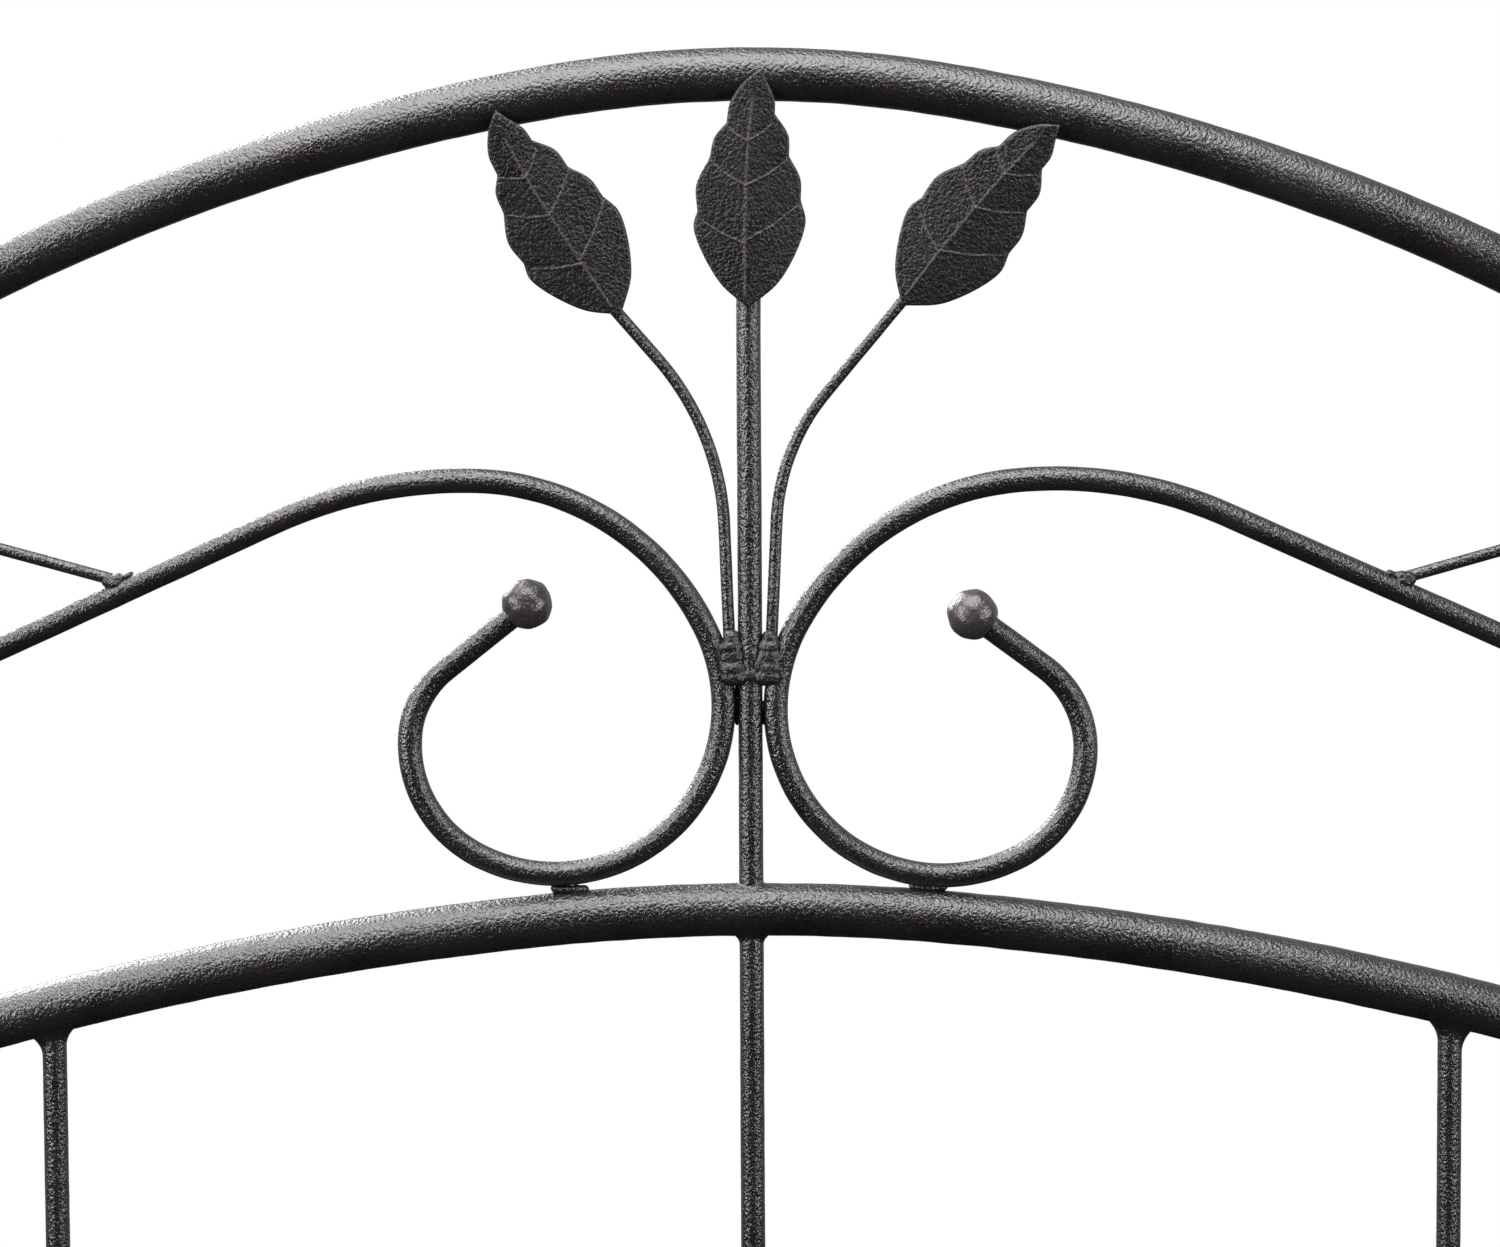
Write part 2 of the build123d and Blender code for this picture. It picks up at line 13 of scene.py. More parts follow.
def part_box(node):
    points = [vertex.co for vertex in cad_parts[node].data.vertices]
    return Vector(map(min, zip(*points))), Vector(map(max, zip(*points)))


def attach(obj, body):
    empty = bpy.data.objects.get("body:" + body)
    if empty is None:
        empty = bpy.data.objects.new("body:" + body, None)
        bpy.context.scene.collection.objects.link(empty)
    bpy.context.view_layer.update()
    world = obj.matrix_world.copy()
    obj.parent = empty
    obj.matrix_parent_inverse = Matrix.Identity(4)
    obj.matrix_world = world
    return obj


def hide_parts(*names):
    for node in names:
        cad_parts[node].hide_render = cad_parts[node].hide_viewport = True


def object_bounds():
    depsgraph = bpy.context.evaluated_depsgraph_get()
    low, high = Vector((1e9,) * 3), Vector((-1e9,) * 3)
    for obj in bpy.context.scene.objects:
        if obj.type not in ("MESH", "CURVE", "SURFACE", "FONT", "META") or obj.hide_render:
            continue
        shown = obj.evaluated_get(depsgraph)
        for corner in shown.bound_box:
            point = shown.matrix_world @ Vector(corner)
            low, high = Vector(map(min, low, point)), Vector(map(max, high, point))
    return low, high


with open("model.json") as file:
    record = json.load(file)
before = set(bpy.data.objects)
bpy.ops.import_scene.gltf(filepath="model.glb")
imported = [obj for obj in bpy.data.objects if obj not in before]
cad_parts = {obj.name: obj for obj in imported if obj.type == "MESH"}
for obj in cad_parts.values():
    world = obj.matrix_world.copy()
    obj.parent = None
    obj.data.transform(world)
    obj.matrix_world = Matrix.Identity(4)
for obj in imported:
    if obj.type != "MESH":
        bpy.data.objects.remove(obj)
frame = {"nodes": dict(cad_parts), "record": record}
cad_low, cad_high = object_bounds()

MM = 0.001
SCENE = bpy.context.scene

# ---------------------------------------------------------------- sizes, in metres, from the frame


def size_of(node):
    low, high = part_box(node)
    return high - low


def middle_of(node):
    low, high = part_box(node)
    return (low + high) / 2


TUBE_R = size_of("upper_panel_rail").z / 2
ROD_R = size_of("centre_upper_rod").y / 2
WIRE_R = size_of("left_leaf_stem").y / 2
LEG_X = middle_of("right_lower_leg").x
BAY = middle_of("right_upper_rod").x
OUTER_CROWN_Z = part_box("arch_frame_tube")[1].z - TUBE_R
SECOND_CROWN_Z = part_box("second_arch_tube")[1].z - TUBE_R
LEG_JOINT_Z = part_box("arch_frame_tube")[0].z
UPPER_RAIL_Z = middle_of("upper_panel_rail").z
STEM_TOP_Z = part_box("centre_stem")[1].z
SIDES = {"left": -1, "right": 1}

# Bends of the arches: centreline radius and half angle of the crown, then the haunch and shoulder.
OUTER_CROWN_R, OUTER_CROWN_HALF = 289.5 * MM, 9.76
OUTER_HAUNCH_R, OUTER_SHOULDER_R = 513 * MM, 60 * MM
SECOND_CROWN_R, SECOND_CROWN_HALF = 527 * MM, 5.34
SECOND_HAUNCH_R, SECOND_END_RUN = 823 * MM, 25 * MM

# Bends of each scroll from where it comes nearest the centre stem: (radius in mm, degrees).
SCROLL_BENDS = {
    "left": {
        "contact": (6.6, 50.6),
        "upper": [(43.3, 25.2), (64.5, 63.1), (111.6, 26.0)],
        "lower": [(41.5, 116.2), (31.1, 64.3), (23.5, 51.1)],
        "curl_run": 25.8,
    },
    "right": {
        "contact": (6.2, 49.3),
        "upper": [(44.1, 29.4), (68.4, 55.4), (102.9, 29.3)],
        "lower": [(41.1, 115.8), (30.4, 62.0), (25.0, 55.6)],
        "curl_run": 22.0,
    },
}

# Stems and branches, in mm and degrees. Each leaf stem starts a little below its foot, inside the weld.
STEM_FOOT_Z, STEM_SUNK = 67.0, 4.0
LEAF_STEMS = {
    "left": {"foot_x": 4.95, "heading": 92.2, "run": 28.0, "bend": (66.3, 38.8), "top": 13.2},
    "right": {"foot_x": 5.1, "heading": 92.7, "run": 28.9, "bend": (52.8, 37.3), "top": 28.0},
}
STEM_BEHIND_LEAF = 12.0
BRANCH_ROOT_X = {"left": 150.6, "right": 155.2}
BRANCH_RISE = 15.6
BRANCH_RUN = 62.0
BRANCH_LEAF_OUT = 52.0


# ---------------------------------------------------------------- centrelines
class Route:
    """Centreline in the plane Y = 0, laid out as straight runs and tangent arcs."""

    ARC_STEP = 1.2 * MM
    RUN_STEP = 4 * MM

    def __init__(self, x, z, heading):
        self.points = [(x, z)]
        self.heading = radians(heading)

    def run(self, length):
        x, z = self.points[-1]
        count = max(1, math.ceil(length / self.RUN_STEP))
        for i in range(1, count + 1):
            d = length * i / count
            self.points.append((x + d * cos(self.heading), z + d * sin(self.heading)))
        return self

    def bend(self, radius, turn):
        """Arc of that many degrees, to the left of the heading when turn is positive."""
        x, z = self.points[-1]
        side = math.copysign(1, turn)
        cx = x - side * radius * sin(self.heading)
        cz = z + side * radius * cos(self.heading)
        count = max(4, math.ceil(radius * abs(radians(turn)) / self.ARC_STEP))
        for i in range(1, count + 1):
            h = self.heading + radians(turn) * i / count
            self.points.append((cx + side * radius * sin(h), cz - side * radius * cos(h)))
        self.heading += radians(turn)
        return self


def mirrored(points, side):
    """A left-hand route's points for the given side."""
    return [(-side * x, z) for x, z in points]


def outer_arch_points():
    reach = LEG_X - OUTER_SHOULDER_R - (OUTER_CROWN_R - OUTER_HAUNCH_R) * sin(radians(OUTER_CROWN_HALF))
    bend = math.degrees(asin(reach / (OUTER_HAUNCH_R - OUTER_SHOULDER_R)))
    half = Route(0, OUTER_CROWN_Z, 180)
    half.bend(OUTER_CROWN_R, OUTER_CROWN_HALF)
    half.bend(OUTER_HAUNCH_R, bend - OUTER_CROWN_HALF)
    half.bend(OUTER_SHOULDER_R, 90 - bend)
    half.run(half.points[-1][1] - LEG_JOINT_Z)
    return half.points[::-1] + mirrored(half.points, 1)[1:]


def second_arch_half():
    reach = LEG_X - SECOND_END_RUN - (SECOND_CROWN_R - SECOND_HAUNCH_R) * sin(radians(SECOND_CROWN_HALF))
    bend = math.degrees(asin(reach / SECOND_HAUNCH_R))
    half = Route(0, SECOND_CROWN_Z, 180)
    half.bend(SECOND_CROWN_R, SECOND_CROWN_HALF)
    half.bend(SECOND_HAUNCH_R, bend - SECOND_CROWN_HALF)
    half.run(SECOND_END_RUN / cos(radians(bend)))
    return half.points


def height_on_second_arch(x):
    points = second_arch_half()
    for (x0, z0), (x1, z1) in zip(points, points[1:]):
        if x1 <= -abs(x) <= x0:
            return z0 + (z1 - z0) * (x0 + abs(x)) / (x0 - x1)
    return points[-1][1]


def scroll_points(name):
    """Points of one scroll from its tail to its curl, left-handed, and the tail's start and slope."""
    shape = SCROLL_BENDS[name]
    x, z = -shape["contact"][0] * MM, SECOND_CROWN_Z + shape["contact"][1] * MM
    upper = Route(x, z, 90)
    for radius, turn in shape["upper"]:
        upper.bend(radius * MM, turn)
    tail = upper.points[-1], upper.heading
    upper.run((LEG_X + tail[0][0]) / -cos(upper.heading))
    lower = Route(x, z, -90)
    for radius, turn in shape["lower"]:
        lower.bend(radius * MM, -turn)
    lower.run(shape["curl_run"] * MM)
    return upper.points[::-1] + lower.points[1:], tail


def leaf_stem_points(name):
    shape = LEAF_STEMS[name]
    start_z = SECOND_CROWN_Z + (STEM_FOOT_Z - STEM_SUNK) * MM
    route = Route(-shape["foot_x"] * MM, start_z, shape["heading"])
    route.run((shape["run"] + STEM_SUNK) * MM)
    route.bend(shape["bend"][0] * MM, shape["bend"][1])
    route.run((shape["top"] + STEM_BEHIND_LEAF) * MM)
    return route.points


def branch_root(name):
    """Point of a scroll tail's centreline that its branch stem stands on, left-handed."""
    (x, z), heading = scroll_points(name)[1]
    root_x = -BRANCH_ROOT_X[name] * MM
    return root_x, z + (root_x - x) * tan(heading)


# ---------------------------------------------------------------- mesh helpers
def smooth_object(name, mesh):
    """Put a mesh in the scene as an object, shaded smooth."""
    mesh.polygons.foreach_set("use_smooth", [True] * len(mesh.polygons))
    obj = bpy.data.objects.new(name, mesh)
    SCENE.collection.objects.link(obj)
    return obj


def mesh_object(name, verts, faces):
    mesh = bpy.data.meshes.new(name)
    mesh.from_pydata(verts, [], faces)
    mesh.update()
    return smooth_object(name, mesh)


def bmesh_object(name, bm):
    mesh = bpy.data.meshes.new(name)
    bm.to_mesh(mesh)
    bm.free()
    return smooth_object(name, mesh)


SKIN_WAVES = 170  # undulations of a drawn tube's skin, per metre


def swept_tube(name, points, radius, sides, uneven):
    """Closed round bar along points of the plane Y = 0, its skin uneven by that many metres."""
    verts, faces = [], []
    last = len(points) - 1
    for i, (x, z) in enumerate(points):
        x0, z0 = points[max(i - 1, 0)]
        x1, z1 = points[min(i + 1, last)]
        length = math.hypot(x1 - x0, z1 - z0)
        nx, nz = -(z1 - z0) / length, (x1 - x0) / length
        for k in range(sides):
            a = 2 * math.pi * k / sides
            out = Vector((nx * cos(a), sin(a), nz * cos(a)))
            spot = Vector((x, 0, z))
            grow = uneven * noise.noise((spot + out * radius) * SKIN_WAVES)
            verts.append(spot + out * (radius + grow))
    for i in range(last):
        for k in range(sides):
            a, b = i * sides + k, i * sides + (k + 1) % sides
            faces.append((a, b, b + sides, a + sides))
    faces.append(tuple(range(sides - 1, -1, -1)))
    faces.append(tuple(range(last * sides, (last + 1) * sides)))
    obj = mesh_object(name, verts, faces)
    fix_normals(obj)
    return obj


def fix_normals(obj):
    bm = bmesh.new()
    bm.from_mesh(obj.data)
    bmesh.ops.recalc_face_normals(bm, faces=bm.faces)
    bm.to_mesh(obj.data)
    bm.free()


def finish_piece(obj, node, material):
    """Dress a new piece, let it ride on the panel and stand for its CAD node."""
    obj.data.materials.clear()
    obj.data.materials.append(material)
    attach(obj, "root")
    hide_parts(node)
    return obj


# ---------------------------------------------------------------- materials
RANGE_SOCKETS = ("From Min", "From Max", "To Min", "To Max")


class Nodes:
    """Small helper for building a node-based material in object coordinates."""

    def __init__(self, name):
        self.material = bpy.data.materials.new(name)
        self.material.use_nodes = True
        self.tree = self.material.node_tree
        self.bsdf = self.tree.nodes["Principled BSDF"]
        self.coords = self.tree.nodes.new("ShaderNodeTexCoord").outputs["Object"]

    def add(self, kind, **values):
        node = self.tree.nodes.new(kind)
        for key, value in values.items():
            if key in node.inputs:
                node.inputs[key].default_value = value
            else:
                setattr(node, key, value)
        return node

    def link(self, out, into):
        self.tree.links.new(out, into)

    def noise(self, cell, detail=3.0, rough=0.55):
        node = self.add("ShaderNodeTexNoise", Scale=1 / cell, Detail=detail, Roughness=rough)
        self.link(self.coords, node.inputs["Vector"])
        return node.outputs["Fac"]

    def cells(self, cell, smoothness=0.6):
        """Rounded pebbles of about that size, high in the middle of each."""
        warp = self.add("ShaderNodeTexNoise", Scale=0.6 / cell, Detail=1.0)
        self.link(self.coords, warp.inputs["Vector"])
        shift = self.add("ShaderNodeVectorMath", operation="MULTIPLY_ADD")
        shift.inputs[1].default_value = (cell * 0.7,) * 3
        self.link(warp.outputs["Color"], shift.inputs[0])
        self.link(self.coords, shift.inputs[2])
        node = self.add("ShaderNodeTexVoronoi", Scale=1 / cell, feature="SMOOTH_F1")
        node.inputs["Smoothness"].default_value = smoothness
        self.link(shift.outputs["Vector"], node.inputs["Vector"])
        return node.outputs["Distance"]

    def spread(self, fac, low, high, from_low=0.3, from_high=0.7):
        node = self.add("ShaderNodeMapRange")
        for key, value in zip(RANGE_SOCKETS, (from_low, from_high, low, high)):
            node.inputs[key].default_value = value
        self.link(fac, node.inputs["Value"])
        return node.outputs["Result"]

    def math(self, operation, a, b):
        node = self.add("ShaderNodeMath", operation=operation)
        for socket, value in zip(node.inputs, (a, b)):
            if isinstance(value, (int, float)):
                socket.default_value = value
            else:
                self.link(value, socket)
        return node.outputs[0]

    def mix(self, fac, a, b):
        node = self.add("ShaderNodeMix", data_type="RGBA")
        self.link(fac, node.inputs["Factor"])
        for socket, value in ((node.inputs[6], a), (node.inputs[7], b)):
            if isinstance(value, tuple):
                socket.default_value = (*value, 1.0)
            else:
                self.link(value, socket)
        return node.outputs[2]


DRIFT_CELL = 22 * MM
PEEL_SHARE, PEBBLE_SHARE = 0.9, 0.7  # how much of the coat's relief each makes
WARM_FACTORS = (1.3, 1.03, 1.06)
# Lighter tone of the painted highlight on a leaf's ridges and edges.
PAINTED_HIGHLIGHT_TONE = (0.09, 0.075, 0.075)


def hammered_coat(name, cell, depth, tones, rough, shine, metallic=0.0, painted_highlight=None):
    """Hammered powder coat: pebbles broken up by finer orange peel, in a brown-black that drifts."""
    n = Nodes(name)
    dark, light = tones
    pebbles = n.cells(cell, 0.25)
    peel = n.noise(cell * 0.62, detail=2.0, rough=0.6)
    drift = n.noise(DRIFT_CELL, detail=2.0)
    tint = n.noise(cell * 1.7, detail=1.0)
    fine, coarse = n.math("MULTIPLY", peel, PEEL_SHARE), n.math("MULTIPLY", pebbles, PEBBLE_SHARE)
    height = n.math("SUBTRACT", fine, coarse)
    bump = n.add("ShaderNodeBump", Strength=1.0, Distance=depth)
    n.link(height, bump.inputs["Height"])
    n.link(bump.outputs["Normal"], n.bsdf.inputs["Normal"])
    body = n.mix(n.spread(drift, 0.0, 1.0), dark, light)
    warm = tuple(c * k for c, k in zip(light, WARM_FACTORS))
    colour = n.mix(n.spread(tint, 0.0, 0.6, 0.55, 0.72), body, warm)
    roughness = n.math("ADD", n.spread(drift, rough - 0.04, rough + 0.04), n.spread(peel, -0.04, 0.05))
    # Painted highlight: the ridges and edges named by the attribute get a lighter tone and lower
    # roughness.
    if painted_highlight:
        mark = n.add("ShaderNodeAttribute", attribute_name=painted_highlight).outputs["Fac"]
        colour = n.mix(n.math("MULTIPLY", mark, 0.5), colour, PAINTED_HIGHLIGHT_TONE)
        roughness = n.math("SUBTRACT", roughness, n.math("MULTIPLY", mark, 0.12))
    n.link(colour, n.bsdf.inputs["Base Color"])
    n.link(roughness, n.bsdf.inputs["Roughness"])
    n.bsdf.inputs["Metallic"].default_value = metallic
    n.bsdf.inputs["Specular IOR Level"].default_value = shine
    return n.material


def plated_steel(name, tone, rough):
    """Zinc-plated steel with faint turning marks and handling stains."""
    n = Nodes(name)
    grain = n.noise(0.25 * MM, detail=4.0)
    stain = n.noise(6 * MM, detail=3.0)
    bump = n.add("ShaderNodeBump", Strength=0.25, Distance=0.03 * MM)
    n.link(grain, bump.inputs["Height"])
    n.link(bump.outputs["Normal"], n.bsdf.inputs["Normal"])
    n.link(n.mix(n.spread(stain, 0, 1), tone, tuple(0.7 * c for c in tone)), n.bsdf.inputs["Base Color"])
    n.link(n.spread(stain, rough - 0.06, rough + 0.1), n.bsdf.inputs["Roughness"])
    n.bsdf.inputs["Metallic"].default_value = 1.0
    return n.material


# Darkest and lightest tone of each coat, and the size and depth of its pebbles.
COAT_TONES = (0.0080, 0.0066, 0.0070), (0.0138, 0.0116, 0.0122)
LEAF_TONES = (0.0054, 0.0043, 0.0046), (0.0094, 0.0077, 0.0081)
BALL_TONES = (0.050, 0.045, 0.047), (0.080, 0.072, 0.075)
TUBE_COAT = hammered_coat("tube_coat", 0.95 * MM, 0.27 * MM, COAT_TONES, rough=0.24, shine=0.90)
ROD_COAT = hammered_coat("rod_coat", 0.85 * MM, 0.24 * MM, COAT_TONES, rough=0.20, shine=0.92)
WELD_COAT = hammered_coat("weld_coat", 0.85 * MM, 0.24 * MM, COAT_TONES, rough=0.25, shine=0.55)
# The leaf coat paints a highlight on the leaf's ridges and edges.
LEAF_COAT = hammered_coat(
    "leaf_coat", 0.88 * MM, 0.30 * MM, LEAF_TONES, rough=0.26, shine=0.40, painted_highlight="painted_highlight"
)
BALL_COAT = hammered_coat(
    "ball_coat", 0.95 * MM, 0.13 * MM, BALL_TONES, rough=0.30, shine=0.70, metallic=0.5
)
SPIGOT_STEEL = plated_steel("spigot_steel", (0.45, 0.45, 0.44), 0.32)
FIXING_STEEL = plated_steel("fixing_steel", (0.20, 0.19, 0.18), 0.36)

SLOT_MATERIALS = {
    "frame_tube": TUBE_COAT,
    "rods": ROD_COAT,
    "leaf_sheet": LEAF_COAT,
    "scroll_ball": BALL_COAT,
    "weld_beads": WELD_COAT,
    "joint_spigot": SPIGOT_STEEL,
    "joint_fixings": FIXING_STEEL,
}


def dress_cad_nodes():
    """Give every carried-over CAD node the material of its slot."""
    slots = {part["node"]: part["material_slot"] for part in frame["record"]["subparts"]}
    for name, obj in frame["nodes"].items():
        obj.data.materials.clear()
        obj.data.materials.append(SLOT_MATERIALS[slots[name]])


# ---------------------------------------------------------------- tubes, rods and thin stems
# Each section's radius, sides and unevenness of its skin.
OUTER_TUBE = TUBE_R, 48, 0.10 * MM
SECOND_TUBE = TUBE_R, 48, 0.12 * MM
ROD = ROD_R, 32, 0.06 * MM
WIRE = WIRE_R, 24, 0.05 * MM


def make_tubes():
    outer = swept_tube("arch_frame", outer_arch_points(), *OUTER_TUBE)
    finish_piece(outer, "arch_frame_tube", TUBE_COAT)
    half = second_arch_half()
    second = swept_tube("second_arch", half[::-1] + mirrored(half, 1)[1:], *SECOND_TUBE)
    finish_piece(second, "second_arch_tube", TUBE_COAT)


def make_bar(name, node, points, section):
    finish_piece(swept_tube(name, points, *section), node, ROD_COAT)


def make_rods():
    stem = Route(0, SECOND_CROWN_Z, 90).run(STEM_TOP_Z - SECOND_CROWN_Z)
    make_bar("centre_stem_rod", "centre_stem", stem.points, ROD)
    for name, x in (("left", -BAY), ("centre", 0.0), ("right", BAY)):
        upright = Route(x, UPPER_RAIL_Z, 90).run(height_on_second_arch(x) - UPPER_RAIL_Z)
        make_bar(f"{name}_upright", f"{name}_upper_rod", upright.points, ROD)
    for name, side in SIDES.items():
        points, _ = scroll_points(name)
        make_bar(f"{name}_scroll_rod", f"{name}_scroll", mirrored(points, side), ROD)
        points = leaf_stem_points(name)
        make_bar(f"{name}_leaf_wire", f"{name}_leaf_stem", mirrored(points, side), WIRE)
        x, z = branch_root(name)
        branch = Route(x, z, 180 - BRANCH_RISE).run(BRANCH_RUN * MM)
        make_bar(f"{name}_branch_wire", f"{name}_branch_stem", mirrored(branch.points, side), WIRE)


BALL_UNEVEN = 0.30 * MM


def make_balls():
    """Forged balls, a little uneven under the coat."""
    for name in SIDES:
        centre, radius = middle_of(f"{name}_scroll_ball"), size_of(f"{name}_scroll_ball").y / 2
        bm = bmesh.new()
        bmesh.ops.create_icosphere(bm, subdivisions=5, radius=radius)
        for v in bm.verts:
            d = v.co.normalized()
            v.co += d * BALL_UNEVEN * noise.noise(d * 2.1 + Vector((len(name), 3, 5)))
            v.co += centre
        ball = bmesh_object(f"{name}_ball", bm)
        finish_piece(ball, f"{name}_scroll_ball", BALL_COAT)


# ---------------------------------------------------------------- leaves
# Outline, veins and relief in mm, x across and z along the leaf from its base. One list for each lobe.
LEAF_LENGTH, LEAF_T = 58.0, 0.8
LEAF_RIGHT = [
    [(0, 0), (8.0, 7.0), (14.0, 20.5), (12.9, 26.1)],
    [(12.9, 26.1), (12.8, 31.2), (10.1, 36.7)],
    [(10.1, 36.7), (9.9, 41.8), (6.7, 46.9)],
    [(6.7, 46.9), (6.6, 50.6), (4.7, 55.0), (3.6, LEAF_LENGTH)],
]
LEAF_LEFT = [
    [(0, 0), (-7.2, 6.6), (-13.2, 19.5), (-12.3, 23.7)],
    [(-12.3, 23.7), (-12.5, 29.9), (-9.2, 36.6)],
    [(-9.2, 36.6), (-8.0, 41.5), (-5.1, 44.9)],
    [(-5.1, 44.9), (-4.1, 50.0), (-0.6, 54.9), (3.6, LEAF_LENGTH)],
]
MIDRIB = [(-0.8, 3.0), (-0.8, 15.7), (-0.4, 29.7), (0.2, 40.4), (1.4, 51.0)]
SIDE_VEINS = [
    [(-0.8, 15.7), (-6.5, 18.2), (-11.5, 21.5)],
    [(-0.4, 16.6), (6.0, 20.0), (12.3, 24.8)],
    [(-0.4, 29.7), (-5.0, 32.2), (-8.8, 35.6)],
    [(-0.2, 29.9), (5.0, 32.4), (9.4, 35.6)],
    [(0.2, 40.4), (-2.8, 42.0), (-5.0, 44.0)],
    [(0.3, 40.6), (3.6, 42.4), (6.3, 44.8)],
]


def through(points, samples=24):
    """Centripetal Catmull-Rom curve through a lobe's points."""
    pts = [Vector((x, z, 0)) for x, z in points]
    pts = [2 * pts[0] - pts[1]] + pts + [2 * pts[-1] - pts[-2]]
    out = []
    for p0, p1, p2, p3 in zip(pts, pts[1:], pts[2:], pts[3:]):
        t1 = (p1 - p0).length ** 0.5
        t2 = t1 + (p2 - p1).length ** 0.5
        t3 = t2 + (p3 - p2).length ** 0.5
        for i in range(samples):
            t = t1 + (t2 - t1) * i / samples
            a1 = p0 * ((t1 - t) / t1) + p1 * (t / t1)
            a2 = p1 * ((t2 - t) / (t2 - t1)) + p2 * ((t - t1) / (t2 - t1))
            a3 = p2 * ((t3 - t) / (t3 - t2)) + p3 * ((t - t2) / (t3 - t2))
            b1 = a1 * ((t2 - t) / t2) + a2 * (t / t2)
            b2 = a2 * ((t3 - t) / (t3 - t1)) + a3 * ((t - t1) / (t3 - t1))
            c = b1 * ((t2 - t) / (t2 - t1)) + b2 * ((t - t1) / (t2 - t1))
            out.append((c.x, c.y))
    out.append(points[-1])
    return out


def outline(lobes):
    """Heights and half-widths of one side's outline, ready for interpolation."""
    points = [point for lobe in lobes for point in through(lobe)]
    return [z for _, z in points], [x for x, _ in points]


def distance_to(path, x, z):
    """Distance from each point to a polyline, and how far along it the nearest point is, 0 to 1."""
    lengths = [math.dist(a, b) for a, b in zip(path, path[1:])]
    best, along, walked = np.full(x.shape, 1e9), np.zeros(x.shape), 0.0
    for (x0, z0), (x1, z1), length in zip(path, path[1:], lengths):
        t = np.clip(((x - x0) * (x1 - x0) + (z - z0) * (z1 - z0)) / length**2, 0.0, 1.0)
        d = np.hypot(x - x0 - t * (x1 - x0), z - z0 - t * (z1 - z0))
        nearer = d < best
        best = np.where(nearer, d, best)
        along = np.where(nearer, (walked + t * length) / sum(lengths), along)
        walked += length
    return best, along


MIDRIB_LIFT = 0.35
FOLD, CUP = 0.085, 0.0016  # how each half of a leaf falls away from the midrib
VEIN_RISE, VEIN_WIDTH = 0.26, 0.19
MIDRIB_RATIO = 1.2  # the midrib's height and width over a side vein's
GROOVE_DEPTH, GROOVE_WIDTH = 0.16, 1.5  # dip that each side vein lies in
EDGE_ROUND, EDGE_WIDTH = 0.40, 0.30
FIRST_ROW, ROW_SPAN = 0.004, 0.9935  # the grid stops just short of the leaf's two points
GATHER = 0.07  # how much the grid's columns gather at the edges

# Where each front leaf's base is: x and height over the second arch's crown in mm, lean in degrees.
LEAF_PLACES = {
    "left": (-31.0, 146.5, 34.7),
    "centre": (0.0, 147.9, 0.0),
    "right": (37.4, 148.3, -37.8),
}
LEAF_GAP = 0.2 * MM  # between a leaf's back and the bar behind it
BRANCH_LEAF_LIFT = 1.8 * MM  # further out at the tip, clear of the outer arch


def leaf_relief(rows, cols):
    """Leaf grid in mm: x, z, height of the front above its plate, and how strongly the painted highlight
    lies there.
    """
    z = (LEAF_LENGTH * (FIRST_ROW + ROW_SPAN * np.arange(rows + 1) / rows))[:, None]
    left, right = (np.interp(z, *outline(lobes)) for lobes in (LEAF_LEFT, LEAF_RIGHT))
    u = (np.arange(cols + 1) / cols)[None, :]
    x = left + (right - left) * (u - GATHER * np.sin(2 * np.pi * u))
    z = np.broadcast_to(z, x.shape)
    middle = np.interp(z, [q for _, q in MIDRIB], [q for q, _ in MIDRIB])
    off = np.abs(x - middle)
    rise = MIDRIB_LIFT - FOLD * off - CUP * off**2
    d, along = distance_to(MIDRIB, x, z)
    ridge = np.exp(-((d / (MIDRIB_RATIO * VEIN_WIDTH)) ** 2)) * (1 - 0.45 * along)
    rise += MIDRIB_RATIO * VEIN_RISE * ridge
    for vein in SIDE_VEINS:
        d, along = distance_to(vein, x, z)
        line = np.exp(-((d / VEIN_WIDTH) ** 2)) * (1 - 0.3 * along)
        rise += VEIN_RISE * line - GROOVE_DEPTH * np.exp(-((d / GROOVE_WIDTH) ** 2)) * along
        ridge = np.maximum(ridge, line)
    edge = np.minimum(x - left, right - x)
    rim = np.exp(-edge / EDGE_WIDTH)
    rise -= EDGE_ROUND * rim
    # Painted highlight: strongest on the ridges and along the edge.
    return x, z, rise, np.maximum(ridge, 0.8 * rim)


def make_leaf(name, node, lean, base, tip_y):
    """One pressed leaf, its plate lying where the CAD leaf's does."""
    rows, cols = ((300, 132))
    x, z, rise, painted_highlight = leaf_relief(rows, cols)
    tilt = math.atan2(base.y - tip_y, LEAF_LENGTH * MM)
    across = np.array((cos(lean), 0, sin(lean)))
    along = np.array((-sin(lean) * cos(tilt), -sin(tilt), cos(lean) * cos(tilt)))
    out = np.cross(across, along)
    plate = np.array(base) + (x[..., None] * across + z[..., None] * along) * MM
    front = plate + (LEAF_T + rise)[..., None] * out * MM
    back = plate + rise[..., None] * out * MM
    verts = np.concatenate((front.reshape(-1, 3), back.reshape(-1, 3)))
    width, count = cols + 1, x.size
    faces = []
    for i in range(rows):
        for j in range(cols):
            a = i * width + j
            faces.append((a, a + 1, a + 1 + width, a + width))
            faces.append((count + a, count + a + width, count + a + 1 + width, count + a + 1))
        for j in (0, cols):
            a = i * width + j
            faces.append((a, a + width, count + a + width, count + a))
    for i in (0, rows):
        for j in range(cols):
            a = i * width + j
            faces.append((a, count + a, count + a + 1, a + 1))
    leaf = mesh_object(name, verts.tolist(), faces)
    fix_normals(leaf)
    # Store where the painted highlight goes, on the front and back alike.
    mark = leaf.data.attributes.new("painted_highlight", "FLOAT", "POINT")
    mark.data.foreach_set("value", np.tile(painted_highlight.ravel(), 2).astype(np.float32))
    return finish_piece(leaf, node, LEAF_COAT)


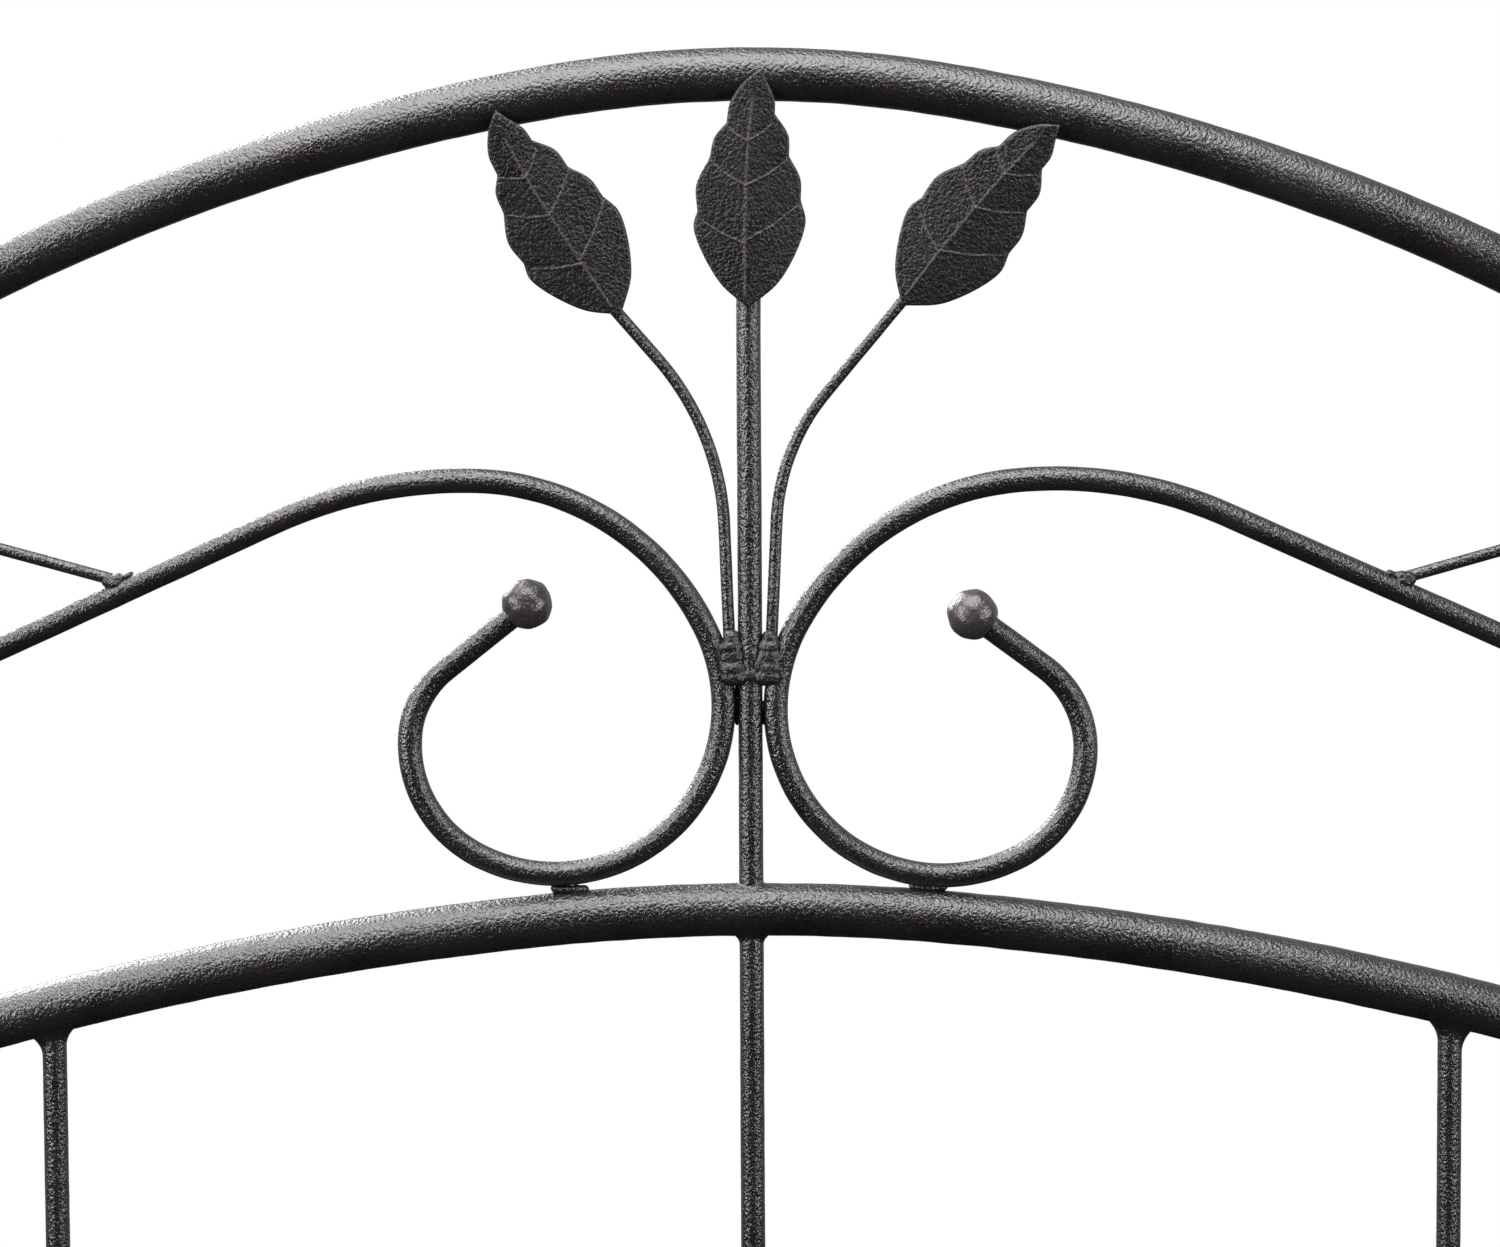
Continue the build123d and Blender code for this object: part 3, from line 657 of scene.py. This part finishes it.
def make_leaves():
    tip_y = -TUBE_R - LEAF_GAP
    side_y, centre_y = -WIRE_R - LEAF_GAP, -ROD_R - LEAF_GAP
    for name, (x, z, lean) in LEAF_PLACES.items():
        y = centre_y if name == "centre" else side_y
        base = Vector((x * MM, y, SECOND_CROWN_Z + z * MM))
        make_leaf(f"{name}_pressed_leaf", f"{name}_leaf", radians(lean), base, tip_y)
    for name, side in SIDES.items():
        x, z = branch_root(name)
        x -= BRANCH_LEAF_OUT * MM * cos(radians(BRANCH_RISE))
        z += BRANCH_LEAF_OUT * MM * sin(radians(BRANCH_RISE))
        base = Vector((-side * x, side_y, z))
        lean = radians(-side * (90 - BRANCH_RISE))
        piece, node = f"{name}_branch_pressed_leaf", f"{name}_branch_leaf"
        make_leaf(piece, node, lean, base, tip_y - BRANCH_LEAF_LIFT)


# ---------------------------------------------------------------- weld beads
# Lumps of the weld on each side of the centre stem: x outwards, y, z and radii, in mm, the last behind.
STEM_LUMPS = [
    (4.6, -1.6, 67.4, 2.1, 2.1, 1.9),
    (4.7, -2.0, 65.2, 2.8, 1.9, 2.3),
    (4.7, -2.1, 62.6, 3.2, 1.9, 2.6),
    (4.5, -2.2, 59.8, 3.4, 2.0, 2.6),
    (4.1, -2.2, 57.6, 3.7, 2.1, 2.2),
    (4.6, 1.6, 62.0, 2.2, 1.9, 4.6),
]
STEM_LUMP_TURN = 4
# Single lumps over the stem, in its slits and on one scroll: x, y, z, radii and turn.
STEM_SINGLES = [
    (0.3, -2.5, 58.0, 2.2, 1.1, 1.6, 0),
    (-3.3, 1.4, 51.0, 1.0, 1.3, 5.6, 0),
    (3.3, 1.4, 48.6, 1.0, 1.3, 3.2, 0),
    (-6.6, -1.9, 64.6, 1.5, 1.4, 1.7, 0),
    (2.4, -2.8, 61.0, 1.3, 0.9, 3.0, 18),
]
FOOT_WELD_INWARD = 3.5
FOOT_LUMPS = (-3.6, -2.0, -0.3, 1.5, 3.2)  # along the second arch
# Lumps at a branch stem's root: outwards, y, upwards, radii and turn.
ROOT_LUMPS = [
    (6.3, -0.5, 1.2, 1.9, 1.9, 1.9, 10),
    (4.6, -0.6, 1.7, 2.1, 1.8, 1.5, 20),
    (2.6, -0.3, 2.2, 2.4, 1.5, 0.9, 22),
    (5.0, -1.5, 0.6, 1.9, 1.3, 1.3, 24),
]
# Fillets on the second arch: x, then rise along the rod (down is negative) and leg along the arch.
ARCH_FILLETS = [
    (-BAY, -4.6 * MM, 2.0 * MM),
    (BAY, -5.6 * MM, 2.2 * MM),
    (0.0, -2.4 * MM, 1.2 * MM),
    (0.0, 0.8 * MM, 0.35 * MM),
]
FILLET_SUNK = 1.2 * MM
WELD_VOXEL = 0.28 * MM
LUMPY_WAVES, GRAINY_WAVES = 380, 1100  # per metre of weld skin
LUMPY_RISE, GRAINY_RISE = 0.34, 0.08


def weld_piece(name, node, blobs):
    """Lumps of weld metal run together. Each blob is (centre, radii, turn about Y in degrees)."""
    bm = bmesh.new()
    for centre, radii, turn in blobs:
        place = Matrix.Translation(centre) @ Matrix.Rotation(radians(turn), 4, "Y")
        place = place @ Matrix.Diagonal((*radii, 1.0))
        bmesh.ops.create_icosphere(bm, subdivisions=3, radius=1.0, matrix=place)
    piece = bmesh_object(name, bm)
    remesh = piece.modifiers.new("run_together", "REMESH")
    remesh.mode = "VOXEL"
    remesh.voxel_size = WELD_VOXEL
    remesh.use_smooth_shade = True
    soften = piece.modifiers.new("soften", "SMOOTH")
    soften.iterations = 9
    graph = bpy.context.evaluated_depsgraph_get()
    baked = bpy.data.meshes.new_from_object(piece.evaluated_get(graph))
    piece.modifiers.clear()
    piece.data = baked
    for v in baked.vertices:
        lumpy, grainy = noise.noise(v.co * LUMPY_WAVES), noise.noise(v.co * GRAINY_WAVES)
        v.co += v.normal * (LUMPY_RISE * lumpy + GRAINY_RISE * grainy) * MM
    baked.polygons.foreach_set("use_smooth", [True] * len(baked.polygons))
    return finish_piece(piece, node, WELD_COAT)


def at(x, y, z):
    """Point in mm from the middle of the panel and the second arch's crown."""
    return Vector((x * MM, y * MM, SECOND_CROWN_Z + z * MM))


def sized(*mm):
    return tuple(s * MM for s in mm)


def tube_skin(x, y, above):
    """Height of the second arch's skin over or under a point of the plan."""
    slope = (height_on_second_arch(x + MM) - height_on_second_arch(x - MM)) / (2 * MM)
    half = math.sqrt(max(0.0, TUBE_R**2 - y**2)) * math.hypot(1, slope)
    return height_on_second_arch(x) + math.copysign(half, above)


def fillet_verts(x, rise, leg, sides, rings):
    """Rings of a hollow-faced fillet round an upright rod, from inside the arch to the rod."""
    verts = []
    for i in range(-2, rings + 1):
        share = max(0.0, i / rings)
        for k in range(sides):
            a = 2 * math.pi * k / sides
            uneven = 1 + 0.25 * noise.noise(Vector((cos(a), sin(a), x * 40)))
            radius = ROD_R + leg * uneven * (1 - share) ** 2.4 - 0.1 * MM * share**8
            foot = ROD_R + leg * uneven
            height = tube_skin(x + foot * cos(a), foot * sin(a), rise) + rise * share
            height += math.copysign(FILLET_SUNK, rise) * min(0, i) / 2
            verts.append(Vector((x + radius * cos(a), radius * sin(a), height)))
    return verts


def make_fillets(name, node, feet):
    """All the fillets of one node. Each foot is (x, rise, leg)."""
    sides, rings = 48, 16
    verts, faces = [], []
    for x, rise, leg in feet:
        first = len(verts)
        verts += fillet_verts(x, rise, leg, sides, rings)
        for i in range(rings + 2):
            for k in range(sides):
                a, b = first + i * sides + k, first + i * sides + (k + 1) % sides
                faces.append((a, b, b + sides, a + sides))
        for ring in (first, first + (rings + 2) * sides):
            faces.append(tuple(range(ring, ring + sides)))
    piece = mesh_object(name, verts, faces)
    fix_normals(piece)
    return finish_piece(piece, node, ROD_COAT)


def make_stem_welds():
    blobs = []
    for side in SIDES.values():
        for x, y, z, *radii in STEM_LUMPS:
            shift = 0.35 * noise.noise(Vector((z, side * 4.0, y)))
            blobs.append((at(side * (x + shift), y, z), sized(*radii), side * STEM_LUMP_TURN))
    for x, y, z, rx, ry, rz, turn in STEM_SINGLES:
        blobs.append((at(x, y, z), sized(rx, ry, rz), turn))
    weld_piece("scroll_welds", "scroll_weld_beads", blobs)


def make_foot_welds():
    blobs = []
    for name, side in SIDES.items():
        shape = SCROLL_BENDS[name]
        x = side * (shape["contact"][0] + shape["lower"][0][0] - FOOT_WELD_INWARD)
        z = (height_on_second_arch(x * MM) + TUBE_R - SECOND_CROWN_Z) / MM + 0.5
        for offset in FOOT_LUMPS:
            wobble = 1 + 0.3 * noise.noise(Vector((offset, side * 3, 1)))
            lift = 0.02 * offset**2
            blobs.append((at(x + offset, 0.4, z + lift), sized(1.4, 1.9, 1.2 * wobble), 0))
    weld_piece("scroll_foot_welds", "scroll_foot_weld_beads", blobs)


def make_root_welds():
    blobs = []
    for name, side in SIDES.items():
        x, z = branch_root(name)
        x, z = -side * x / MM, (z - SECOND_CROWN_Z) / MM
        for out, y, up, rx, ry, rz, turn in ROOT_LUMPS:
            blobs.append((at(x + side * out, y, z + up), sized(rx, ry, rz), side * turn))
    weld_piece("branch_welds", "branch_weld_beads", blobs)


def make_welds():
    make_stem_welds()
    make_foot_welds()
    make_root_welds()
    make_fillets("arch_welds", "arch_weld_beads", ARCH_FILLETS)


# ---------------------------------------------------------------- setting, camera and light
FLOOR_RADIUS = 5.5
FLOOR_GLOW = 0.34  # keeps the floor pale beyond the lamps' reach

CAMERA_DISTANCE, CAMERA_ELEVATION, CAMERA_ROLL = 1.104, 4.5, 0.30
CAMERA_LENS, CAMERA_SENSOR = 108.0, 36.0
CAMERA_TARGET = Vector((0, 0, SECOND_CROWN_Z + 70.7 * MM))

LAMP_TARGET = Vector((0, 0, SECOND_CROWN_Z + 60 * MM))
LAMP_COLOUR = (1.0, 0.98, 0.985)
# Each lamp: place (its height over the second arch's crown), width, height and radiance.
LAMPS = {
    "left_softbox": ((-1.0, -0.55, 0.28), 0.36, 0.85, 13.0),
    "right_softbox": ((1.0, -0.58, 0.2), 0.32, 0.85, 10.0),
    "top_softbox": ((-0.08, -0.34, 0.90), 1.1, 0.95, 7.2),
    "high_left_softbox": ((-1.0, 0.75, 1.25), 1.3, 1.1, 6.0),
    "back_left_softbox": ((-1.2, 2.0, 1.1), 1.2, 1.2, 9.0),
}
SKY_COLOUR = (1, 0.985, 0.99, 1)
# Strength of the sky by direction, each as (from, to, strength at from, strength at to).
SKY_BEHIND = (-0.25, 0.55, 0.012, 0.45)  # along Y, towards the back
SKY_ABOVE = (-0.55, -0.02, 0.02, 1.0)  # along Z, a share of the strength above


def make_floor():
    bm = bmesh.new()
    bmesh.ops.create_circle(bm, cap_ends=True, segments=96, radius=FLOOR_RADIUS)
    for v in bm.verts:
        v.co.z = cad_low.z
    floor = bmesh_object("floor", bm)
    n = Nodes("pale_floor")
    n.link(n.mix(n.noise(0.4), (0.40, 0.40, 0.40), (0.44, 0.44, 0.44)), n.bsdf.inputs["Base Color"])
    n.bsdf.inputs["Roughness"].default_value = 0.9
    n.bsdf.inputs["Emission Color"].default_value = (1, 1, 1, 1)
    n.bsdf.inputs["Emission Strength"].default_value = FLOOR_GLOW
    floor.data.materials.append(n.material)
    floor.visible_glossy = False


def make_camera():
    """Nearly square on, from a little above, close to the middle of the arch."""
    back = Vector((0, -cos(radians(CAMERA_ELEVATION)), sin(radians(CAMERA_ELEVATION))))
    data = bpy.data.cameras.new("camera")
    data.sensor_width = CAMERA_SENSOR
    data.lens = CAMERA_LENS
    camera = bpy.data.objects.new("camera", data)
    SCENE.collection.objects.link(camera)
    place = Matrix.Translation(CAMERA_TARGET + back * CAMERA_DISTANCE)
    turn = (-back).to_track_quat("-Z", "Y").to_matrix().to_4x4()
    camera.matrix_world = place @ turn @ Matrix.Rotation(radians(-CAMERA_ROLL), 4, "Z")
    SCENE.camera = camera


def softbox(name, place, width, height, radiance):
    """Soft lamp facing the crest, its brightness given per unit of area."""
    data = bpy.data.lights.new(name, "AREA")
    data.shape = "RECTANGLE"
    data.size, data.size_y = width, height
    data.energy = radiance * math.pi * width * height
    data.color = LAMP_COLOUR
    lamp = bpy.data.objects.new(name, data)
    SCENE.collection.objects.link(lamp)
    turn = (LAMP_TARGET - place).to_track_quat("-Z", "Z").to_matrix().to_4x4()
    lamp.matrix_world = Matrix.Translation(place) @ turn


def make_lamps():
    for name, ((x, y, above), width, height, radiance) in LAMPS.items():
        softbox(name, Vector((x, y, SECOND_CROWN_Z + above)), width, height, radiance)


def make_world():
    """White where the camera sees it. What lights the panel is dim in front and below, bright behind."""
    world = bpy.data.worlds.new("studio")
    SCENE.world = world
    world.use_nodes = True
    nodes, link = world.node_tree.nodes, world.node_tree.links.new
    nodes.clear()
    output = nodes.new("ShaderNodeOutputWorld")
    seen = nodes.new("ShaderNodeBackground")
    seen.inputs["Color"].default_value = (1, 1, 1, 1)
    seen.inputs["Strength"].default_value = 1.0
    lit = nodes.new("ShaderNodeBackground")
    lit.inputs["Color"].default_value = SKY_COLOUR
    direction = nodes.new("ShaderNodeTexCoord")
    split = nodes.new("ShaderNodeSeparateXYZ")
    link(direction.outputs["Generated"], split.inputs[0])
    share = nodes.new("ShaderNodeMath")
    share.operation = "MULTIPLY"
    for socket, axis, ramp in zip(share.inputs, ("Y", "Z"), (SKY_BEHIND, SKY_ABOVE)):
        shade = nodes.new("ShaderNodeMapRange")
        shade.interpolation_type = "SMOOTHSTEP"
        for key, value in zip(RANGE_SOCKETS, ramp):
            shade.inputs[key].default_value = value
        link(split.outputs[axis], shade.inputs["Value"])
        link(shade.outputs["Result"], socket)
    link(share.outputs[0], lit.inputs["Strength"])
    path = nodes.new("ShaderNodeLightPath")
    mix = nodes.new("ShaderNodeMixShader")
    link(path.outputs["Is Camera Ray"], mix.inputs[0])
    link(lit.outputs[0], mix.inputs[1])
    link(seen.outputs[0], mix.inputs[2])
    link(mix.outputs[0], output.inputs["Surface"])
    SCENE.view_settings.view_transform = "Standard"
    SCENE.view_settings.look = "None"
    SCENE.view_settings.exposure = 0.0


dress_cad_nodes()
make_tubes()
make_rods()
make_balls()
make_leaves()
make_welds()
make_floor()
make_camera()
make_lamps()
make_world()

bpy.context.view_layer.update()
